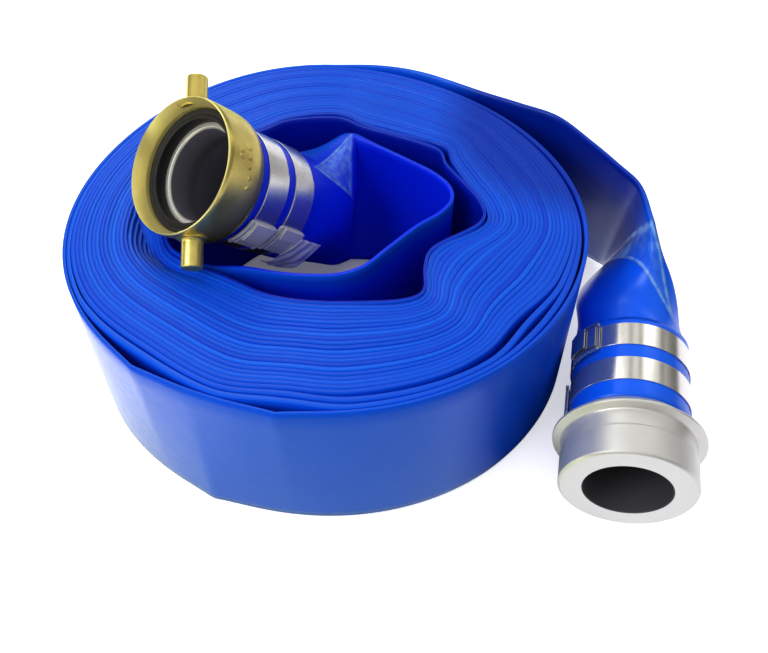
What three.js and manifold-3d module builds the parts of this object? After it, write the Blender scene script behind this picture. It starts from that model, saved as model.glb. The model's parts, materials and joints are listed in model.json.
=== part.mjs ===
// Rolled lay-flat discharge hose with a threaded male end and a pin-lug swivel female end.
// Millimetres, +Z up. The roll stands on its edges on z = 0.
import * as THREE from "three";
import { mergeVertices } from "three/addons/utils/BufferGeometryUtils.js";
import Module from "manifold-3d";

const wasm = await Module();
wasm.setup();

// ---- driving dimensions ----------------------------------------------------------------

const GAP = 0.3; // clearance kept between neighbouring pieces

// hose: nominal 2 in, lies flat when empty
const HOSE_FLAT_WIDTH = 86;
const HOSE_FLAT_THICKNESS = 1.8;
const HOSE_WALL = 1.4;
const HOSE_BORE_RADIUS = 25.7;
const HOSE_RADIUS = HOSE_BORE_RADIUS + HOSE_WALL;

// roll of the hose: its turns stand a little unevenly, so it is taller than the hose is wide
const ROLL_HEIGHT = 87;
const ROLL_RADIUS = 120.4;
const ROLL_WAVES = [
  { order: 2, cos: 2.8, sin: -1.0 },
  { order: 3, cos: 0.8, sin: -1.6 },
  { order: 4, cos: 0.6, sin: 0.6 },
];

// eye of the roll, clockwise seen from above, with the dent in the innermost turns
const EYE_POINTS = [
  [-66, 30], [-50, 50], [-33, 62], [-21, 69], [3, 70.5], [17, 62], [51, 46.5], [57, 32],
  [71, 7], [70, -7], [48, -22], [43.5, -34], [43, -48], [33, -53.5], [5, -54.5],
  [-12, -53], [-25, -49.5], [-38, -42.5], [-50, -36], [-62, -30], [-72, -20], [-75, -6], [-73, 12],
];

// Tails: rows of [top fold, bottom fold, openness], openness 0 where the hose lies flat and 1 where
// it is round. The inner one runs from the female cuff round the eye to the innermost turn.
const TAIL_TOP = 86.6;
const TAIL_BOTTOM = 0.6;
const upright = ([x, y]) => [[x, y, TAIL_TOP], [x, y, TAIL_BOTTOM], 0];
const INNER_TAIL_ROWS = [
  [[1, 45, 85.5], [-20, 26, 28], 0.8],
  [[9, 58, 86], [0, 44, 5], 0.34],
  [[12, 56.5, 86.5], [9, 51, 1.5], 0.2],
  [[22, 49.5, TAIL_TOP], [22, 50, 1], 0.05],
  ...[
    [38, 38], [52, 27], [59, 17], [59.5, 8], [54, -0.5], [43, -9.5], [30, -23],
    [17, -36.5], [6, -41], [-7, -41.5], [-21, -40], [-35, -37],
  ].map(upright),
];

// The outer one leaves the outermost turn, creases and twists, and its folds reach the male cuff at
// its right and left sides.
const OUTER_TAIL_ROWS = [
  ...[[4, 121.4], [25, 117.6], [47, 111.8], [82, 92.5], [100, 83], [118, 72.5]].map(upright),
  [[133, 51.5, TAIL_TOP], [137, 61, TAIL_BOTTOM], 0],
  [[144, 34.5, 86], [147, 53.5, 0.8], 0],
  [[152, 19.5, 86], [152, 46, 3], 0],
  [[153.5, -7, 86], [152.5, 34, 12], 0.03],
  [[158, -19, 78], [143, 22, 12], 0.3],
  [[166, -26, 66], [135, 1, 20], 0.68],
];

// male end: distances run back from its face, along its axis
const MALE_FACE = new THREE.Vector3(132.8, -120.4, 34);
const MALE_AZIMUTH = THREE.MathUtils.degToRad(-101);
const MALE_NOSE_RADIUS = 30.15;
const MALE_NOSE_LENGTH = 15.4;
const MALE_NECK_RADIUS = 29.4;
const MALE_RING_RADIUS = 34;
const MALE_RING_AT = 23.6;
const MALE_CONE_END = 31.2;
const MALE_BORE_RADIUS = 19.2;
const MALE_CHAMFER = 1.2;
const MALE_BANDS_AT = [40.4, 60.3];
const MALE_SHANK_END = 76;

// female end: distances run back from its mouth, along its axis
const FEMALE_MOUTH = new THREE.Vector3(-63.3, -9.4, 122.5);
const FEMALE_AZIMUTH = THREE.MathUtils.degToRad(-144.9);
const FEMALE_TILT = THREE.MathUtils.degToRad(45.3);
const NUT_RADIUS = 31.6;
const NUT_LENGTH = 25;
const NUT_THREAD_RADIUS = 28.6;
const NUT_LIP = 0.7; // width of the flat rim round the mouth, and of the chamfer outside it
const NUT_BEVEL_DEPTH = 6.6; // how deep the mouth's cone runs
const NUT_REAR_CURVE = [[4.4, 0], [2.2, 1.7], [0.8, 4.6], [0.3, 8]]; // [inwards, from the rear end]
const NUT_REAR_HOLE_RADIUS = 26.2;
const NUT_SHOULDER_AT = 18;
const LUG_RADIUS = 4.9;
const LUG_REACH = 44.8;
const LUG_AT = 9.9;
const LUG_CHAMFER = 0.9;
const LUG_ANGLE = THREE.MathUtils.degToRad(136);
const GASKET_FACE_AT = 8.2;
const GASKET_RADIUS = 28.2;
const GASKET_BORE_RADIUS = 23.9;
const FLANGE_AT = 14;
const FLANGE_RADIUS = 28.1;
const FEMALE_BORE_RADIUS = 21.2;
const FEMALE_CUFF_AT = NUT_LENGTH + 0.8;
const FEMALE_BANDS_AT = [29.4, 47];
const FEMALE_SHANK_END = 68;

// shank tails, shared by both ends
const SHANK_RADIUS = 25.4;
const SHANK_BORE_RADIUS = 22;
const SHANK_BARB_PITCH = 7;
const SHANK_BARB_DEPTH = 0.8;
const CUFF_OVERLAP = 3; // how far the hose's round cuff runs on past its shank
const STRAIGHT_OUT = 9; // how far a tail runs on straight before it bends

// band clamps, two on each end
const BAND_WIDTH = 12.7;
const BAND_THICKNESS = 0.8;
const BAND_INNER_RADIUS = HOSE_RADIUS + GAP;
const BAND_RADIUS = BAND_INNER_RADIUS + BAND_THICKNESS;
const BUCKLE_HEIGHT = 2.2;
const BUCKLE_WIDTH = 15.2;
const BUCKLE_SPAN = THREE.MathUtils.degToRad(38);
const MALE_BUCKLES_AT = [205, 148].map(THREE.MathUtils.degToRad);
const FEMALE_BUCKLES_AT = [-20, -16].map(THREE.MathUtils.degToRad);

// loose scrap of clear wrapping film under the female end's rear buckle
const FILM_THICKNESS = 0.5;
const FILM_RADIUS = 29.6;
const FILM_AT = 61.4;
const FILM_LENGTH = 15;
const FILM_FROM = THREE.MathUtils.degToRad(-58);
const FILM_TO = THREE.MathUtils.degToRad(-2);

const ROUND = 48; // sides of a turned piece
const ROLL_SIDES = 96; // sides of the roll's outline, and of its eye
const LUG_CLEARANCE = 1; // kept round the path of the turning lugs

// ---- materials -------------------------------------------------------------------------

const material = (color, roughness, metalness, extra = {}) =>
  new THREE.MeshStandardMaterial({ color, roughness, metalness, ...extra });
const BLUE_HOSE = material(0x0a3fd0, 0.38, 0);
const ALUMINIUM = material(0xc9c8c2, 0.34, 1);
const BRASS = material(0xb8943c, 0.4, 1);
const STEEL = material(0xb9b7b0, 0.22, 1);
const BLACK_RUBBER = material(0x17181a, 0.7, 0);
const CLEAR_FILM = material(0xdfe8f5, 0.15, 0, { transparent: true, opacity: 0.4 });

// ---- helpers ---------------------------------------------------------------------------

// A closed mesh geometry as a manifold-3d solid.
function toSolid(geometry) {
  const bare = geometry.clone();
  bare.deleteAttribute("normal");
  bare.deleteAttribute("uv");
  const merged = mergeVertices(bare, 1e-3);
  return new wasm.Manifold(
    new wasm.Mesh({
      numProp: 3,
      vertProperties: merged.attributes.position.array,
      triVerts: new Uint32Array(merged.index.array),
    }),
  );
}

function toGeometry(solid) {
  const mesh = solid.getMesh();
  const geometry = new THREE.BufferGeometry();
  geometry.setAttribute("position", new THREE.BufferAttribute(mesh.vertProperties, mesh.numProp));
  geometry.setIndex(new THREE.BufferAttribute(mesh.triVerts, 1));
  geometry.computeVertexNormals();
  return geometry;
}

// Turned solid about +Z. The profile is [radius, distance behind the face] pairs in order round
// the section, anticlockwise with the face at the top, and it closes on itself.
function turned(profile, sides = ROUND) {
  const points = profile.map(([radius, behind]) => new THREE.Vector2(radius, -behind));
  points.push(points[0].clone());
  return new THREE.LatheGeometry(points, sides).rotateX(Math.PI / 2);
}

// Solid through a row of closed rings with the same number of points, capped at both ends.
function loft(rings) {
  const sides = rings[0].length;
  const positions = rings.flat().flatMap((p) => [p.x, p.y, p.z]);
  const index = [];
  for (let i = 0; i + 1 < rings.length; i++) {
    for (let j = 0; j < sides; j++) {
      const k = (j + 1) % sides;
      const [a, b, c, d] = [i * sides + j, i * sides + k, (i + 1) * sides + k, (i + 1) * sides + j];
      index.push(a, c, b, a, d, c);
    }
  }
  for (const [ring, start] of [[rings[0], 0], [rings.at(-1), (rings.length - 1) * sides]]) {
    const centre = ring.reduce((sum, p) => sum.add(p), new THREE.Vector3()).divideScalar(sides);
    const hub = positions.length / 3;
    positions.push(centre.x, centre.y, centre.z);
    for (let j = 0; j < sides; j++) {
      const k = (j + 1) % sides;
      if (start === 0) index.push(hub, start + j, start + k);
      else index.push(hub, start + k, start + j);
    }
  }
  const geometry = new THREE.BufferGeometry();
  geometry.setAttribute("position", new THREE.Float32BufferAttribute(positions, 3));
  geometry.setIndex(index);
  geometry.computeVertexNormals();
  return geometry;
}

const vectors = (list) => list.map(([x, y, z]) => new THREE.Vector3(x, y, z));
const AHEAD = 0.03; // share of the route, each way, that a section's direction is taken from

// Hose tail through its rows: each section is an oval between the two folds.
function hoseTail(rows, steps, sides = 16) {
  const fold = (which) =>
    new THREE.CatmullRomCurve3(vectors(rows.map((row) => row[which])), false, "centripetal");
  const [top, bottom] = [fold(0), fold(1)];
  const middle = (u) => top.getPoint(u).add(bottom.getPoint(u)).divideScalar(2);
  const opennessAt = spread(rows.map((row) => row[2]));
  const flat = HOSE_FLAT_THICKNESS / 2;
  const rings = [];
  for (let i = 0; i <= steps; i++) {
    const u = i / steps;
    const centre = middle(u);
    const up = top.getPoint(u).sub(centre);
    const ahead = middle(Math.min(u + AHEAD, 1)).sub(middle(Math.max(u - AHEAD, 0)));
    const side = new THREE.Vector3().crossVectors(ahead, up).normalize();
    const thick = flat + (HOSE_RADIUS - flat) * opennessAt(u);
    const ring = [];
    for (let j = 0; j < sides; j++) {
      const a = (2 * Math.PI * j) / sides;
      ring.push(
        centre.clone().addScaledVector(side, thick * Math.cos(a)).addScaledVector(up, Math.sin(a)),
      );
    }
    rings.push(ring);
  }
  return loft(rings);
}

// Reads a list of values spread evenly over 0 to 1, with straight lines between them.
function spread(values) {
  return (u) => {
    const at = THREE.MathUtils.clamp(u, 0, 1) * (values.length - 1);
    const i = Math.min(Math.floor(at), values.length - 2);
    return THREE.MathUtils.lerp(values[i], values[i + 1], at - i);
  };
}

const object = new THREE.Group();

function addMesh(parent, name, geometry, look) {
  const mesh = new THREE.Mesh(geometry, look);
  mesh.name = name;
  parent.add(mesh);
}

// A group whose +Z points out of a fitting, with its origin on the face, +X level and +Y upward.
function fittingFrame(face, azimuth, tilt) {
  const out = new THREE.Vector3(
    Math.cos(azimuth) * Math.cos(tilt),
    Math.sin(azimuth) * Math.cos(tilt),
    Math.sin(tilt),
  );
  const level = new THREE.Vector3().crossVectors(new THREE.Vector3(0, 0, 1), out).normalize();
  const upward = new THREE.Vector3().crossVectors(out, level);
  const frame = new THREE.Group();
  frame.quaternion.setFromRotationMatrix(new THREE.Matrix4().makeBasis(level, upward, out));
  frame.position.copy(face);
  frame.userData.out = out;
  object.add(frame);
  return frame;
}

const behindFace = (frame, distance) =>
  frame.position.clone().addScaledVector(frame.userData.out, -distance);

// ---- fittings --------------------------------------------------------------------------

// Outer wall of a barbed tail, from where it starts to its end.
function barbs(from, to) {
  const count = Math.floor((to - from) / SHANK_BARB_PITCH);
  const pitch = (to - from) / count;
  const points = [];
  for (let i = 0; i < count; i++) {
    points.push([SHANK_RADIUS, from + i * pitch + 0.2]);
    points.push([SHANK_RADIUS - SHANK_BARB_DEPTH, from + (i + 1) * pitch]);
  }
  return points;
}

function maleShank() {
  return turned([
    [MALE_BORE_RADIUS, 0.5],
    [MALE_BORE_RADIUS, MALE_RING_AT],
    [SHANK_BORE_RADIUS, MALE_CONE_END],
    [SHANK_BORE_RADIUS, MALE_SHANK_END],
    ...barbs(MALE_CONE_END, MALE_SHANK_END).reverse(),
    [HOSE_RADIUS, MALE_CONE_END],
    [MALE_RING_RADIUS, MALE_RING_AT + 1],
    [MALE_RING_RADIUS, MALE_RING_AT],
    [MALE_NECK_RADIUS, MALE_RING_AT - 1],
    [MALE_NECK_RADIUS, MALE_NOSE_LENGTH],
    [MALE_NOSE_RADIUS, MALE_NOSE_LENGTH - 1],
    [MALE_NOSE_RADIUS, MALE_CHAMFER],
    [MALE_NOSE_RADIUS - MALE_CHAMFER, 0],
    [MALE_BORE_RADIUS + 0.5, 0],
  ]);
}

function femaleShank() {
  const neck = NUT_REAR_HOLE_RADIUS - GAP;
  return turned([
    [FEMALE_BORE_RADIUS + 1, FLANGE_AT],
    [FEMALE_BORE_RADIUS, FLANGE_AT + 1.4],
    [FEMALE_BORE_RADIUS, NUT_LENGTH],
    [SHANK_BORE_RADIUS, NUT_LENGTH + 6],
    [SHANK_BORE_RADIUS, FEMALE_SHANK_END],
    ...barbs(FEMALE_CUFF_AT, FEMALE_SHANK_END).reverse(),
    [neck, NUT_LENGTH],
    [neck, NUT_SHOULDER_AT - GAP],
    [FLANGE_RADIUS, NUT_SHOULDER_AT - GAP],
    [FLANGE_RADIUS, FLANGE_AT],
  ]);
}

function swivelNut() {
  const body = turned([
    [NUT_RADIUS - NUT_LIP, 0],
    [NUT_THREAD_RADIUS, NUT_BEVEL_DEPTH],
    [NUT_THREAD_RADIUS, NUT_SHOULDER_AT],
    [NUT_REAR_HOLE_RADIUS, NUT_SHOULDER_AT],
    [NUT_REAR_HOLE_RADIUS, NUT_LENGTH],
    ...NUT_REAR_CURVE.map(([inwards, before]) => [NUT_RADIUS - inwards, NUT_LENGTH - before]),
    [NUT_RADIUS, NUT_LIP],
  ]);
  const lugLength = LUG_REACH - (NUT_THREAD_RADIUS + NUT_RADIUS) / 2;
  const lugProfile = [
    [0, -lugLength],
    [LUG_RADIUS, -lugLength],
    [LUG_RADIUS, -LUG_CHAMFER],
    [LUG_RADIUS - LUG_CHAMFER, 0],
    [0, 0],
  ];
  const lug = new THREE.LatheGeometry(lugProfile.map(([x, y]) => new THREE.Vector2(x, y)), 32);
  lug.rotateX(Math.PI / 2);
  let solid = toSolid(body);
  for (const angle of [LUG_ANGLE, LUG_ANGLE + Math.PI]) {
    const place = new THREE.Matrix4()
      .makeTranslation(LUG_REACH * Math.cos(angle), LUG_REACH * Math.sin(angle), -LUG_AT)
      .multiply(new THREE.Matrix4().makeRotationZ(angle))
      .multiply(new THREE.Matrix4().makeRotationY(Math.PI / 2));
    solid = solid.add(toSolid(lug.clone().applyMatrix4(place)));
  }
  return toGeometry(solid);
}

function gasket() {
  return turned([
    [GASKET_BORE_RADIUS, GASKET_FACE_AT + 0.5],
    [GASKET_BORE_RADIUS, FLANGE_AT - GAP],
    [GASKET_RADIUS, FLANGE_AT - GAP],
    [GASKET_RADIUS, GASKET_FACE_AT],
    [GASKET_BORE_RADIUS + 0.5, GASKET_FACE_AT],
  ]);
}

function hoseCuff(from, shankEnd) {
  return turned([
    [HOSE_BORE_RADIUS, from],
    [HOSE_BORE_RADIUS, shankEnd + CUFF_OVERLAP],
    [HOSE_RADIUS, shankEnd + CUFF_OVERLAP],
    [HOSE_RADIUS, from],
  ]);
}

function band(at) {
  return turned([
    [BAND_INNER_RADIUS, at],
    [BAND_INNER_RADIUS, at + BAND_WIDTH],
    [BAND_RADIUS, at + BAND_WIDTH],
    [BAND_RADIUS, at],
  ]);
}

// Part of a ring: from one radius to another, between two angles, of a length that starts at a
// distance behind the face.
function arcBlock({ inner, outer, from, to, at, length }) {
  const shape = new THREE.Shape();
  shape.absarc(0, 0, outer, from, to, false);
  shape.absarc(0, 0, inner, to, from, true);
  const block = new THREE.ExtrudeGeometry(shape, {
    depth: length,
    bevelEnabled: false,
    curveSegments: 8,
  });
  return block.translate(0, 0, -at - length);
}

// Buckle block that sits on its band, bent to the band's radius.
function buckle(bandAt, angle) {
  return arcBlock({
    inner: BAND_RADIUS + GAP,
    outer: BAND_RADIUS + GAP + BUCKLE_HEIGHT,
    from: angle - BUCKLE_SPAN / 2,
    to: angle + BUCKLE_SPAN / 2,
    at: bandAt + (BAND_WIDTH - BUCKLE_WIDTH) / 2,
    length: BUCKLE_WIDTH,
  });
}

function clearFilm() {
  return arcBlock({
    inner: FILM_RADIUS,
    outer: FILM_RADIUS + FILM_THICKNESS,
    from: FILM_FROM,
    to: FILM_TO,
    at: FILM_AT + GAP,
    length: FILM_LENGTH,
  });
}

function addBands(frame, side, places, angles) {
  ["front", "rear"].forEach((where, i) => {
    addMesh(frame, `${side}_band_${where}`, band(places[i]), STEEL);
    addMesh(frame, `${side}_band_buckle_${where}`, buckle(places[i], angles[i]), STEEL);
  });
}

const maleEnd = fittingFrame(MALE_FACE, MALE_AZIMUTH, 0);
addMesh(maleEnd, "male_shank", maleShank(), ALUMINIUM);
addMesh(maleEnd, "hose_cuff_male", hoseCuff(MALE_CONE_END + GAP, MALE_SHANK_END), BLUE_HOSE);
addBands(maleEnd, "male", MALE_BANDS_AT, MALE_BUCKLES_AT);

const femaleEnd = fittingFrame(FEMALE_MOUTH, FEMALE_AZIMUTH, FEMALE_TILT);
addMesh(femaleEnd, "swivel_nut", swivelNut(), BRASS);
addMesh(femaleEnd, "swivel_gasket", gasket(), BLACK_RUBBER);
addMesh(femaleEnd, "female_shank", femaleShank(), ALUMINIUM);
addMesh(femaleEnd, "hose_cuff_female", hoseCuff(FEMALE_CUFF_AT, FEMALE_SHANK_END), BLUE_HOSE);
addBands(femaleEnd, "female", FEMALE_BANDS_AT, FEMALE_BUCKLES_AT);
addMesh(femaleEnd, "clear_film_scrap", clearFilm(), CLEAR_FILM);

// ---- hose ------------------------------------------------------------------------------

function rollRadius(angle) {
  return ROLL_WAVES.reduce(
    (sum, w) => sum + w.cos * Math.cos(w.order * angle) + w.sin * Math.sin(w.order * angle),
    ROLL_RADIUS,
  );
}

function hoseRoll() {
  const outline = new THREE.Shape();
  for (let i = 0; i < ROLL_SIDES; i++) {
    const angle = (2 * Math.PI * i) / ROLL_SIDES;
    const radius = rollRadius(angle);
    const [x, y] = [radius * Math.cos(angle), radius * Math.sin(angle)];
    if (i === 0) outline.moveTo(x, y);
    else outline.lineTo(x, y);
  }
  outline.closePath();
  const eye = new THREE.CatmullRomCurve3(
    EYE_POINTS.map(([x, y]) => new THREE.Vector3(x, y, 0)),
    true,
    "centripetal",
  );
  const rim = eye.getPoints(ROLL_SIDES).slice(0, -1);
  outline.holes.push(new THREE.Path(rim.map((p) => new THREE.Vector2(p.x, p.y))));
  const block = new THREE.ExtrudeGeometry(outline, { depth: ROLL_HEIGHT, bevelEnabled: false });
  // The turns under the nut give way to the lugs as they pass.
  const halfWidth = LUG_RADIUS + LUG_CLEARANCE;
  const sweep = turned([
    [NUT_RADIUS, LUG_AT - halfWidth],
    [NUT_RADIUS, LUG_AT + halfWidth],
    [LUG_REACH + LUG_CLEARANCE, LUG_AT + halfWidth],
    [LUG_REACH + LUG_CLEARANCE, LUG_AT - halfWidth],
  ]);
  femaleEnd.updateMatrix();
  return toGeometry(toSolid(block).subtract(toSolid(sweep.applyMatrix4(femaleEnd.matrix))));
}

// The round rows that lead a tail straight out of its cuff, with the folds along a direction.
const cuffRows = (frame, shankEnd, direction) =>
  [GAP, STRAIGHT_OUT / 2, STRAIGHT_OUT].map((beyond) => {
    const centre = behindFace(frame, shankEnd + CUFF_OVERLAP + beyond);
    const reach = direction.clone().applyQuaternion(frame.quaternion).multiplyScalar(HOSE_RADIUS);
    return [centre.clone().add(reach).toArray(), centre.clone().sub(reach).toArray(), 1];
  });
const UPWARD = new THREE.Vector3(0, 1, 0);
const LEVEL = new THREE.Vector3(1, 0, 0);

addMesh(object, "hose_roll", hoseRoll(), BLUE_HOSE);
addMesh(
  object,
  "hose_inner_tail",
  hoseTail([...cuffRows(femaleEnd, FEMALE_SHANK_END, UPWARD), ...INNER_TAIL_ROWS], 48),
  BLUE_HOSE,
);
addMesh(
  object,
  "hose_outer_tail",
  hoseTail([...OUTER_TAIL_ROWS, ...cuffRows(maleEnd, MALE_SHANK_END, LEVEL).reverse()], 44),
  BLUE_HOSE,
);

// The origin is the middle of the whole object's footprint, on the surface that it stands on.
object.updateMatrixWorld(true);
const extent = new THREE.Box3().setFromObject(object, true);
object.position.set(
  -(extent.min.x + extent.max.x) / 2,
  -(extent.min.y + extent.max.y) / 2,
  -extent.min.z,
);

const part = new THREE.Group();
part.add(object);

export default part;
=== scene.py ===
"""Rolled lay-flat discharge hose with a brass pin-lug swivel end and an aluminium male end.

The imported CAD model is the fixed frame. The hose, the bands, their buckles and the film are rebuilt
here in mesh code; the turned fittings are rebuilt with their rounded edges, faint thread rings and lugs.
Lengths are in millimetres in the roll's own frame (its axis is x = y = 0 and the floor is z = 0)
until placed() turns them into metres in the CAD frame.
"""
import json
import math

import bmesh
import bpy
import numpy as np
from mathutils import Matrix, Vector


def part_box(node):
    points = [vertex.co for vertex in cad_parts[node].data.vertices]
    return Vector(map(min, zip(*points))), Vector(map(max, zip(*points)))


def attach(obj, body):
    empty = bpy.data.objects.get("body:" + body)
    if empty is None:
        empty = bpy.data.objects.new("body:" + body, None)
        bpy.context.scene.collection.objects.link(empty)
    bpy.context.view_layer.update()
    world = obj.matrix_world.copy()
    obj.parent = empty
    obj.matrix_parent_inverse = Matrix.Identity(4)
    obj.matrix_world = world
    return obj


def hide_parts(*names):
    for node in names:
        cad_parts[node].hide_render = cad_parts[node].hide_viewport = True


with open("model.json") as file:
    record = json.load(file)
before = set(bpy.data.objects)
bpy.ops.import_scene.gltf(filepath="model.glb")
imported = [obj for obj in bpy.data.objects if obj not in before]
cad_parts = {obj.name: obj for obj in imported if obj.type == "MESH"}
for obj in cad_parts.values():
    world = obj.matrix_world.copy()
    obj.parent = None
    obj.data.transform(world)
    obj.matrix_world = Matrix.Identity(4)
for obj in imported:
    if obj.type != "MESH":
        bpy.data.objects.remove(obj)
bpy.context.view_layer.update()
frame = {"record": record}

MM = 0.001
TAU = 2 * math.pi

# ---- driving dimensions, in mm ----

HOSE_WIDTH = 86.0  # lying flat
HOSE_THICKNESS = 1.8  # both walls pressed together
HOSE_WALL = 1.4
HOSE_RADIUS = 27.1  # where it is round
GIRTH = TAU * HOSE_RADIUS

TURNS = 25 + 123 / 360  # from where the inner tail joins the roll to where the outer tail leaves it
ROLL_START = math.radians(213)
ROLL_RADIUS = 120.4
ROLL_WAVES = ((2, 2.8, -1.0), (3, 0.8, -1.6), (4, 0.6, 0.6))  # order, cosine and sine share
EYE_POINTS = (
    (-66, 30), (-50, 50), (-33, 62), (-21, 69), (3, 70.5), (17, 62), (51, 46.5), (57, 32),
    (71, 7), (70, -7), (48, -22), (43.5, -34), (43, -48), (33, -53.5), (5, -54.5),
    (-12, -53), (-25, -49.5), (-38, -42.5), (-50, -36), (-62, -30), (-72, -20), (-75, -6), (-73, 12),
)

NUT_RADIUS = 31.6
NUT_LENGTH = 25.0
NUT_THREAD_RADIUS = 28.6
NUT_REAR_HOLE_RADIUS = 26.2
NUT_SHOULDER_AT = 18.0
LUG_RADIUS = 4.9
LUG_REACH = 44.8
LUG_AT = 9.9
LUG_ANGLE = math.radians(136)
GASKET_FACE_AT = 8.2
GASKET_RADIUS = 28.2
GASKET_BORE_RADIUS = 23.9
FLANGE_AT = 14.0
FLANGE_RADIUS = 28.1
FEMALE_BORE_RADIUS = 21.2
FEMALE_CUFF_AT = 25.8
FEMALE_BANDS_AT = (29.4, 47.0)
FEMALE_SHANK_END = 68.0

MALE_NOSE_RADIUS = 30.15
MALE_NOSE_LENGTH = 15.4
MALE_NECK_RADIUS = 29.4
MALE_RING_RADIUS = 34.0
MALE_RING_AT = 23.6
MALE_CONE_END = 31.2
MALE_BORE_RADIUS = 19.2
MALE_BANDS_AT = (40.4, 60.3)
MALE_SHANK_END = 76.0

THREAD_PITCH = 2.2
THREAD_DEPTH = 0.03

# small round cast marks on the nut's flank: degrees round it, distance behind its face, radius
PIPS = (
    (45, 7.5, 1.3), (50, 7.5, 1.3), (38, 12.5, 1.0), (46, 12.5, 1.1), (54, 12.5, 1.1),
    (30, 13.5, 0.9), (22, 13.5, 0.9),
)

SHANK_RADIUS = 25.4
SHANK_BORE_RADIUS = 22.0
CUFF_OVERLAP = 3.0
BAND_WIDTH = 12.7
BAND_THICKNESS = 0.8
BAND_INNER_RADIUS = HOSE_RADIUS + 0.05

# ---- places, from the frame ----


def roll_radius(angle):
    waves = sum(c * np.cos(n * angle) + s * np.sin(n * angle) for n, c, s in ROLL_WAVES)
    return ROLL_RADIUS + waves


CAD_ROLL_SIDES = 96
_corners = np.arange(CAD_ROLL_SIDES) * TAU / CAD_ROLL_SIDES
_roll_low = Vector(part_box("hose_roll")[0]) / MM
ROLL_CENTRE = Vector((
    _roll_low.x - float(np.min(roll_radius(_corners) * np.cos(_corners))),
    _roll_low.y - float(np.min(roll_radius(_corners) * np.sin(_corners))),
    0.0,
))


def placed(point):
    return (Vector(point) + ROLL_CENTRE) * MM


def fitting_matrix(face, out):
    """Local x is level, y upward and z out of the fitting; the origin is on its face. In mm."""
    out = Vector(out).normalized()
    level = Vector((0, 0, 1)).cross(out).normalized()
    upward = out.cross(level)
    axes = Matrix((level, upward, out)).transposed()
    return Matrix.Translation(face) @ axes.to_4x4()


_joint = frame["record"]["behaviour"]["joints"][0]
_nose = next(m for m in frame["record"]["mounts"] if m["name"] == "male_nose_face")
NOSE_MOUNT_RADIUS = 24.5  # the mount is a point on the ring-shaped face, this far above its axis
FEMALE = fitting_matrix(Vector(_joint["pos_m"]) / MM - ROLL_CENTRE, _joint["axis"])
MALE = fitting_matrix(
    Vector(_nose["pos_m"]) / MM - ROLL_CENTRE - Vector((0, 0, NOSE_MOUNT_RADIUS)), _nose["axis"]
)

# ---- material helpers ----


class Nodes:
    """A node tree, with short calls for the nodes that most materials share."""

    def __init__(self, tree):
        self.nodes = tree.nodes
        self.links = tree.links

    def node(self, kind, inputs=None, **settings):
        made = self.nodes.new(kind)
        for key, value in settings.items():
            setattr(made, key, value)
        for key, value in (inputs or {}).items():
            if isinstance(value, bpy.types.NodeSocket):
                self.links.new(value, made.inputs[key])
            else:
                made.inputs[key].default_value = value
        return made

    def coordinates(self, kind="Object", scale=(1, 1, 1)):
        source = self.node("ShaderNodeTexCoord").outputs[kind]
        return self.node("ShaderNodeMapping", {"Vector": source, "Scale": scale}).outputs["Vector"]

    def place_in_mm(self):
        return self.coordinates("Object", (1 / MM,) * 3)

    def position(self):
        """Where the shaded point is in the scene, in metres."""
        return self.node("ShaderNodeNewGeometry").outputs["Position"]

    def noise(self, vector, scale, detail=3.0, roughness=0.5):
        inputs = {"Vector": vector, "Scale": scale, "Detail": detail, "Roughness": roughness}
        return self.node("ShaderNodeTexNoise", inputs).outputs["Fac"]

    def wave(self, vector, scale, direction="X", distortion=0.0):
        inputs = {"Vector": vector, "Scale": scale, "Distortion": distortion}
        return self.node("ShaderNodeTexWave", inputs, bands_direction=direction).outputs["Fac"]

    def ramp(self, value, stops):
        made = self.node("ShaderNodeValToRGB", {"Fac": value})
        elements = made.color_ramp.elements
        while len(elements) < len(stops):
            elements.new(0.5)
        for element, (position, colour) in zip(elements, stops):
            element.position = position
            element.color = (*colour, 1)
        return made.outputs["Color"]

    def mix(self, share, first, second):
        made = self.node("ShaderNodeMix", {"Factor": share}, data_type="RGBA")
        for socket, value in ((made.inputs[6], first), (made.inputs[7], second)):
            if isinstance(value, bpy.types.NodeSocket):
                self.links.new(value, socket)
            else:
                socket.default_value = (*value, 1)
        return made.outputs[2]

    def remap(self, value, span, target=(0, 1)):
        """Takes the span onto the target, and stays at the target's ends outside it."""
        inputs = {"Value": value, "From Min": span[0], "From Max": span[1]}
        inputs.update({"To Min": target[0], "To Max": target[1]})
        return self.node("ShaderNodeMapRange", inputs).outputs["Result"]

    def number(self, operation, *values):
        return self.node("ShaderNodeMath", dict(enumerate(values)), operation=operation).outputs[0]

    def vector_number(self, operation, *values):
        """The number that a vector operation gives, such as a distance."""
        made = self.node("ShaderNodeVectorMath", dict(enumerate(values)), operation=operation)
        return made.outputs["Value"]

    def product(self, first, second):
        return self.number("MULTIPLY", first, second)


class Look(Nodes):
    """A node material on a Principled shader."""

    def __init__(self, name, colour, roughness, metallic=0.0, **sockets):
        self.material = bpy.data.materials.new(name)
        self.material.use_nodes = True
        super().__init__(self.material.node_tree)
        self.shader = self.nodes["Principled BSDF"]
        self.set("Base Color", (*colour, 1))
        self.set("Roughness", roughness)
        self.set("Metallic", metallic)
        for socket, value in sockets.items():
            self.set(socket.replace("_", " "), value)
        self.normal = None

    def set(self, socket, value):
        self.shader.inputs[socket].default_value = value

    def drive(self, socket, value):
        self.links.new(value, self.shader.inputs[socket])

    def bump(self, height, depth_mm, strength=1.0):
        inputs = {"Height": height, "Distance": depth_mm * MM, "Strength": strength}
        if self.normal is not None:
            inputs["Normal"] = self.normal
        self.normal = self.node("ShaderNodeBump", inputs).outputs["Normal"]
        self.drive("Normal", self.normal)


# ---- camera, light and floor ----

CAMERA_LENS = 41.53
CAMERA_ELEVATION = math.radians(50.5)
CAMERA_AIM = Vector((26.9, -36.2, 44.0))
CAMERA_DISTANCE = 431
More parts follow.
